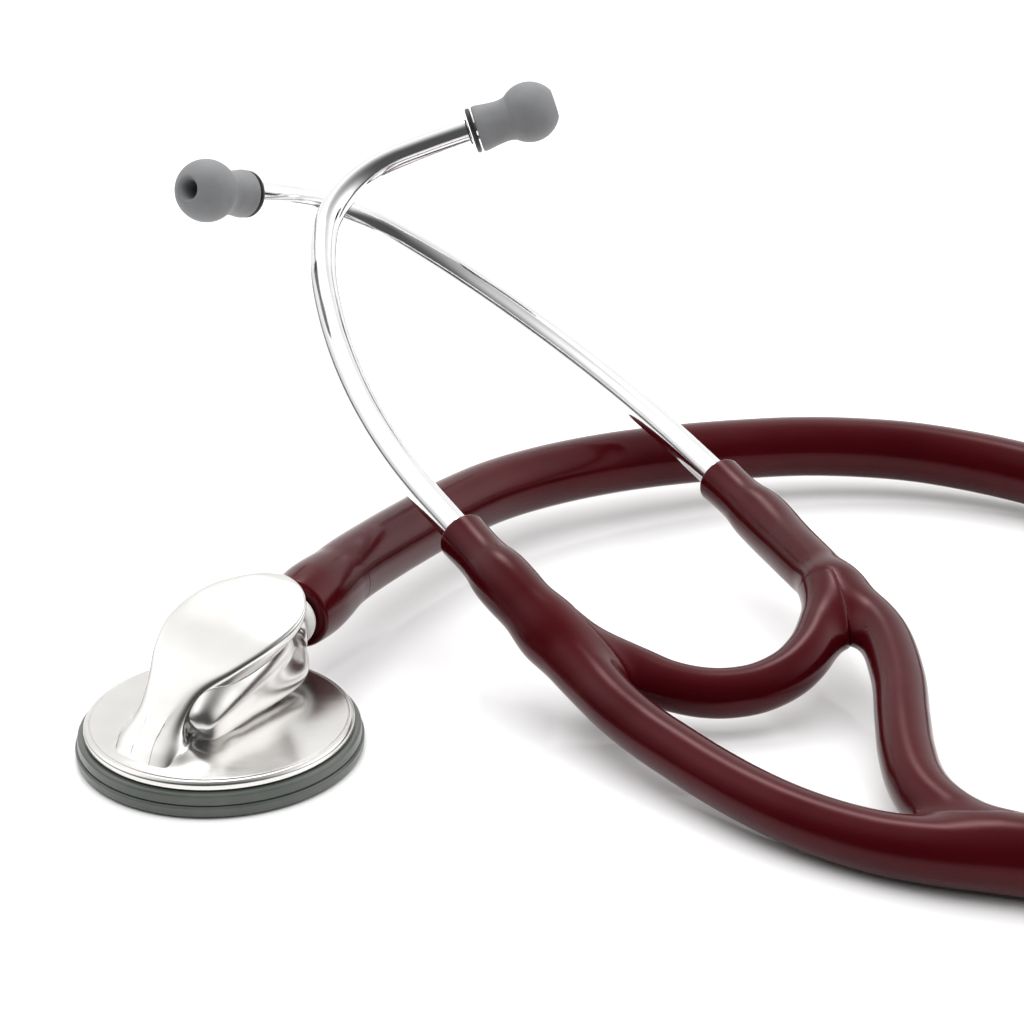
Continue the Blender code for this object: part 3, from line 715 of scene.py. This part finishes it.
def build_arms():
    """Each arm from its socket to the yoke, the spring's cover in two halves, and the spring."""
    pvc = finish_named("burgundy pvc")
    routes = {side: arm_route(side) for side in EAR_SIDES}
    cover = smooth(COVER_ROUTE, 0.5)
    total = {side: lengths(route)[-1] for side, route in routes.items()}
    fork = {"near": 101.5, "far": 107.0}
    pieces = []
    for side, route in routes.items():
        end = total[side]
        last = [(end - 8.0, 6.0, 4.0), (end, 6.12, 0)] if side == "near" else [
            (end - 6.0, 5.3, 2.0), (end - 3.0, 5.0, 0)]
        outline = contour([(6.0, 2.85, 0), (0.4, 2.85, 0.3), (0.0, 3.2, 0.2), (0.0, 4.2, 0.35),
                           (0.4, 4.55, 0.4), (4.0, 4.4, 2.0), (8.5, 4.45, 2.0), (12.5, 5.2, 2.5),
                           (16.5, 5.3, 3.0), (24.0, 5.05, 5.0), (38.0, 4.9, 6.0),
                           (50.0, 4.5, 8.0), (fork[side] - 22.0, 4.5, 8.0),
                           (fork[side], 4.75, 8.0)] + last, 0.6)
        grid = swept(route, outline, 64)
        grid = moulded(grid, cover, 4.25, 5.0)
        other = routes["far" if side == "near" else "near"]
        tail = other[lengths(other) > lengths(other)[-1] - 45.0]
        fade = np.clip((end - 2.0 - outline[:, 0]) / 16.0, 0, 1)[:, None, None]
        grid = grid + fade * (moulded(grid, tail, 4.7, 4.5) - grid)
        sleeve = skin(f"{side} sleeve", grid, pvc)
        if side == "near":
            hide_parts("near_arm", "near_lower_arm", "yoke")
            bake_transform(sleeve)
        else:
            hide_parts("far_arm", "far_lower_arm")
            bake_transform(sleeve)
        pieces.append(sleeve)

    along = lengths(cover)
    stations = np.arange(0.0, along[-1], 0.6)
    grid = swept(cover, np.stack([stations, np.full_like(stations, 4.25)], 1), 64)
    for side, route in routes.items():
        near = route[(lengths(route) > 8.0) & (lengths(route) < 75.0)]
        grid = moulded(grid, near, 4.9, 5.0)
    normals = grid_normals(grid)
    if ((grid - grid.mean(1, keepdims=True)) * normals).sum() < 0:
        normals = -normals
    half = len(grid) // 2
    forward, across, upward = route_frames(cover, (0, 0, 1))
    for side, rows, turn, limit in (
            ("near", slice(0, half + 1), (0.080, 0.0055, 0.0075), (0.060, 0.013, 0.012)),
            ("far", slice(half, None), (0.083, 0.0052, 0.0072), (0.100, 0.018, 0.0115))):
        piece = skin(f"{side} half of spring cover", grid[rows], pvc, ends=False,
                     normals=normals[rows])
        run = slice(0, len(cover) // 2 + 1) if side == "near" else slice(len(cover) // 2, None)
        strip = [cover[run] + a * across[run] + b * upward[run]
                 for a, b in ((-0.4, -2.0), (0.4, -2.0), (0.4, 2.0), (-0.4, 2.0))]
        leaf = skin(f"{side} half of leaf spring", np.stack(strip, 1)[6 if side == "near" else 0:
                    None if side == "near" else -6], finish_named("polished steel"))
        leaf.data.shade_flat()
        for item, nodes in ((piece, "spring_cover"), (leaf, "leaf_spring")):
            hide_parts(nodes)
            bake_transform(item)
            pieces.append(item)
    return pieces


def build_ear_side(side, tube_radius, tip_radius):
    """One ear tube, and the washer and eartip on its end."""
    mouth, aim = EAR_SIDES[side]
    axes = ear_axes(aim)
    flat, heading = ear_route()
    route = mouth + flat @ axes.T
    end = lengths(route)[-1]
    outline = contour([(0.0, 2.0, 0), (0.0, tube_radius - 0.3, 0.2), (0.3, tube_radius, 0.2),
                       (end - 0.4, tube_radius, 0.3), (end, tube_radius - 0.4, 0.2),
                       (end, 2.0, 0)], 0.6)
    tube = skin(f"{side} ear tube", swept(route, outline, 48, up=axes[:, 2]),
                finish_named("chrome plate"))
    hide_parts(f"{side}_ear_tube")
    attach(tube, f"{side}_ear_tube_group")

    along = axes[:, 0] * math.cos(heading) + axes[:, 1] * math.sin(heading)
    tip = np.stack([axes[:, 2], np.cross(along, axes[:, 2]), along], axis=1)
    washer = turned(f"{side} washer", route[-1], tip, contour([
        (0.2, 3.1, 0), (0.2, 4.5, 0.15), (0.45, 4.75, 0.2), (0.95, 4.75, 0.2), (1.2, 4.5, 0.15),
        (1.2, 3.1, 0)], 0.2), 72, finish_named("black edge"))
    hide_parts(f"{side}_washer")
    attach(washer, f"{side}_ear_tube_group")
    turn = np.radians(np.linspace(27, 132, 40))
    ball = np.stack([12.9 + tip_radius * np.cos(turn), tip_radius * np.sin(turn)], 1)
    hole = contour([(9.6, 1.8, 0), (17.3, 1.85, 0.5), (18.1, 2.1, 0.4), (18.5, 2.55, 0.25),
                    tuple(ball[0]) + (0,)], 0.3)
    back = contour([tuple(ball[-1]) + (0,), (7.3, 4.3, 1.3), (5.0, 4.45, 1.5), (2.4, 4.85, 0.8),
                    (1.7, 4.8, 0.3), (1.5, 4.5, 0.2), (1.5, 3.1, 0.1), (8.0, 2.9, 0.3),
                    (9.6, 1.8, 0)], 0.3)
    eartip = turned(f"{side} eartip", route[-1], tip,
                    np.vstack([hole, ball[1:-1], back[:-1]]), 96, finish_named("grey silicone"))
    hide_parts(f"{side}_eartip")
    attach(eartip, f"{side}_eartip_group")
    return [tube, washer, eartip]


# Stage


def card(name, centre, size, turn, colour, strength=0.0):
    """A flat studio card, given in metres, plain; its strength is not used."""
    w, h = size[0] / 2, size[1] / 2
    mesh = bpy.data.meshes.new(name)
    mesh.from_pydata([(-w, -h, 0), (w, -h, 0), (w, h, 0), (-w, h, 0)], [], [(0, 1, 2, 3)])
    f = Finish(name)
    shade = spread(f, grain(f, 2.0, 1.0), 0.96, 1.0)
    f.set(Base_Color=tint(f, shade, tuple(0.9 * c for c in colour), colour), Roughness=0.9)
    mesh.materials.append(f.material)
    piece = bpy.data.objects.new(name, mesh)
    piece.location = centre
    piece.rotation_euler = [math.radians(a) for a in turn]
    bpy.context.collection.objects.link(piece)
    piece.visible_camera = False
    piece.visible_shadow = False
    piece.visible_diffuse = False
    return piece


def soft_light(name, place, aim, size, power):
    """A square area light that faces a point, in metres and watts."""
    light = bpy.data.lights.new(name, "AREA")
    light.shape = "SQUARE"
    light.size = size
    light.energy = power
    item = bpy.data.objects.new(name, light)
    item.location = place
    item.rotation_euler = (Vector(aim) - Vector(place)).to_track_quat("-Z", "Y").to_euler()
    item.visible_glossy = False
    bpy.context.collection.objects.link(item)
    return item


def white_room():
    """Surroundings: a bright backdrop ahead that fades overhead to dark behind the camera.

    The backdrop's brightness is 0.09 + ((y + 0.6) / 1.45)^1.5 for the direction's forward
    part y. Each
    soft box adds a power of the cosine of the angle from its middle.
    """
    f = Finish("white room", world=True)
    way = f.make("ShaderNodeTexCoord", {}, {}, "Generated")
    ahead = f.make("ShaderNodeSeparateXYZ", {}, {0: way}, 1)
    rise = f.make("ShaderNodeMapRange", {}, {"Value": ahead, "From Min": -0.6, "From Max": 0.85})
    total = 0.09 + 1.0 * rise ** 1.5
    for middle, power, strength in SOFT_BOXES:
        near = f.make("ShaderNodeVectorMath", {"operation": "DOT_PRODUCT"},
                      {0: way, 1: tuple(unit(np.array(middle)))}, "Value")
        total = total + strength * f.make("ShaderNodeMath", {"operation": "MAXIMUM"},
                                          {0: near, 1: 0.0}) ** power
    feed(f.tree, f.shader.inputs["Strength"], total)
    f.shader.inputs["Color"].default_value = (1.0, 0.995, 0.985, 1.0)
    return f.material


SOFT_BOXES = [
    ((-0.69, 0.17, 0.70), 10.0, 1.2),
    ((0.80, 0.15, 0.42), 7.0, 1.7),
    ((-0.08, 0.56, 0.82), 90.0, 7.0),
]


def build_stage():
    """Pale glossy table, white surroundings, soft lights, dark cards for the metal, camera."""
    scene = bpy.context.scene
    mesh = bpy.data.meshes.new("table")
    mesh.from_pydata([(-40, -40, -0.0002), (40, -40, -0.0002), (40, 40, -0.0002), (-40, 40, -0.0002)], [],
                     [(0, 1, 2, 3)])
    mesh.materials.append(finish_named("pale table"))
    table = bpy.data.objects.new("table", mesh)
    bpy.context.collection.objects.link(table)
    cards = [
        card("left_dark_card", (-1.2, 0.3, 0.06), (2.4, 0.12), (90, 0, 90), (0.01, 0.01, 0.01)),
        card("right_dark_card", (1.6, 0.1, 0.10), (2.4, 0.20), (90, 0, 90), (0.01, 0.01, 0.01)),
    ]
    scene.world = white_room()
    lights = [
        soft_light("overhead_light", (0.1, 0.45, 1.4), (0.1, 0.35, 0.0), 2.6, 27.0),
        soft_light("front_light", (0.1, -0.45, 0.8), (0.1, -0.25, 0.0), 1.0, 4.5),
    ]

    camera = bpy.data.cameras.new("camera")
    camera.lens = 85.78
    camera.sensor_width = 36.0
    camera.clip_start = 0.01
    holder = bpy.data.objects.new("camera", camera)
    holder.location = (0.04821, -0.35585, 0.19624)
    holder.rotation_euler = (math.radians(66.6), 0, 0)
    bpy.context.collection.objects.link(holder)
    scene.camera = holder
    scene.view_settings.view_transform = "Standard"


# Add-on


class StethoscopeSettings(bpy.types.PropertyGroup):
    tube_diameter: bpy.props.FloatProperty(
        name="Tube diameter", description="Outside diameter of the main tube", default=0.0122,
        unit="LENGTH", subtype="DISTANCE")
    ear_tube_diameter: bpy.props.FloatProperty(
        name="Ear tube diameter", description="Outside diameter of the chromed ear tubes",
        default=0.0055, unit="LENGTH", subtype="DISTANCE")
    eartip_diameter: bpy.props.FloatProperty(
        name="Eartip diameter", description="Widest diameter of the eartips", default=0.0125,
        unit="LENGTH", subtype="DISTANCE")


class STETHOSCOPE_OT_chestpiece(bpy.types.Operator):
    """Build the chestpiece's plate, head, boss, rings and diaphragm"""

    bl_idname = "stethoscope.chestpiece"
    bl_label = "Chestpiece"

    def execute(self, context):
        build_chestpiece()
        return {"FINISHED"}


class STETHOSCOPE_OT_main_tube(bpy.types.Operator):
    """Build the main tube and its mouth over the stem"""

    bl_idname = "stethoscope.main_tube"
    bl_label = "Main tube"

    def execute(self, context):
        build_main_tube(context.scene.stethoscope.tube_diameter * 500)
        return {"FINISHED"}


class STETHOSCOPE_OT_arms(bpy.types.Operator):
    """Build the moulded arms, the yoke, the spring and its cover"""

    bl_idname = "stethoscope.arms"
    bl_label = "Arms and yoke"

    def execute(self, context):
        build_arms()
        return {"FINISHED"}


class STETHOSCOPE_OT_ear_tubes(bpy.types.Operator):
    """Build both ear tubes with their washers and eartips"""

    bl_idname = "stethoscope.ear_tubes"
    bl_label = "Ear tubes"

    def execute(self, context):
        settings = context.scene.stethoscope
        for side in EAR_SIDES:
            build_ear_side(side, settings.ear_tube_diameter * 500, settings.eartip_diameter * 500)
        return {"FINISHED"}


class STETHOSCOPE_OT_cad_finishes(bpy.types.Operator):
    """Give the CAD pieces that stay in view their finishes"""

    bl_idname = "stethoscope.cad_finishes"
    bl_label = "Finishes on CAD pieces"

    def execute(self, context):
        for node, finish in CAD_FINISHES.items():
            data = bpy.data.objects[node].data
            data.materials.clear()
            data.materials.append(finish_named(finish))
        return {"FINISHED"}


class STETHOSCOPE_OT_stage(bpy.types.Operator):
    """Build the table, the lights and the camera"""

    bl_idname = "stethoscope.stage"
    bl_label = "Stage"

    def execute(self, context):
        build_stage()
        return {"FINISHED"}


class STETHOSCOPE_PT_panel(bpy.types.Panel):
    bl_label = "Stethoscope"
    bl_idname = "STETHOSCOPE_PT_panel"
    bl_space_type = "VIEW_3D"
    bl_region_type = "UI"
    bl_category = "Stethoscope"

    def draw(self, context):
        settings = context.scene.stethoscope
        for name in ("tube_diameter", "ear_tube_diameter", "eartip_diameter"):
            self.layout.prop(settings, name)
        for operator in OPERATORS:
            self.layout.operator(operator.bl_idname)


OPERATORS = (STETHOSCOPE_OT_chestpiece, STETHOSCOPE_OT_main_tube, STETHOSCOPE_OT_arms,
             STETHOSCOPE_OT_ear_tubes, STETHOSCOPE_OT_cad_finishes, STETHOSCOPE_OT_stage)
CLASSES = (StethoscopeSettings, *OPERATORS, STETHOSCOPE_PT_panel)


def register():
    for item in CLASSES:
        bpy.utils.register_class(item)
    bpy.types.Scene.stethoscope = bpy.props.PointerProperty(type=StethoscopeSettings)


def unregister():
    del bpy.types.Scene.stethoscope
    for item in reversed(CLASSES):
        bpy.utils.unregister_class(item)


def main():
    register()
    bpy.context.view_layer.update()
    bpy.ops.stethoscope.chestpiece()
    bpy.ops.stethoscope.main_tube()
    bpy.ops.stethoscope.arms()
    bpy.ops.stethoscope.ear_tubes()
    bpy.ops.stethoscope.cad_finishes()
    bpy.ops.stethoscope.stage()


if __name__ == "__main__":
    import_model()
    main()
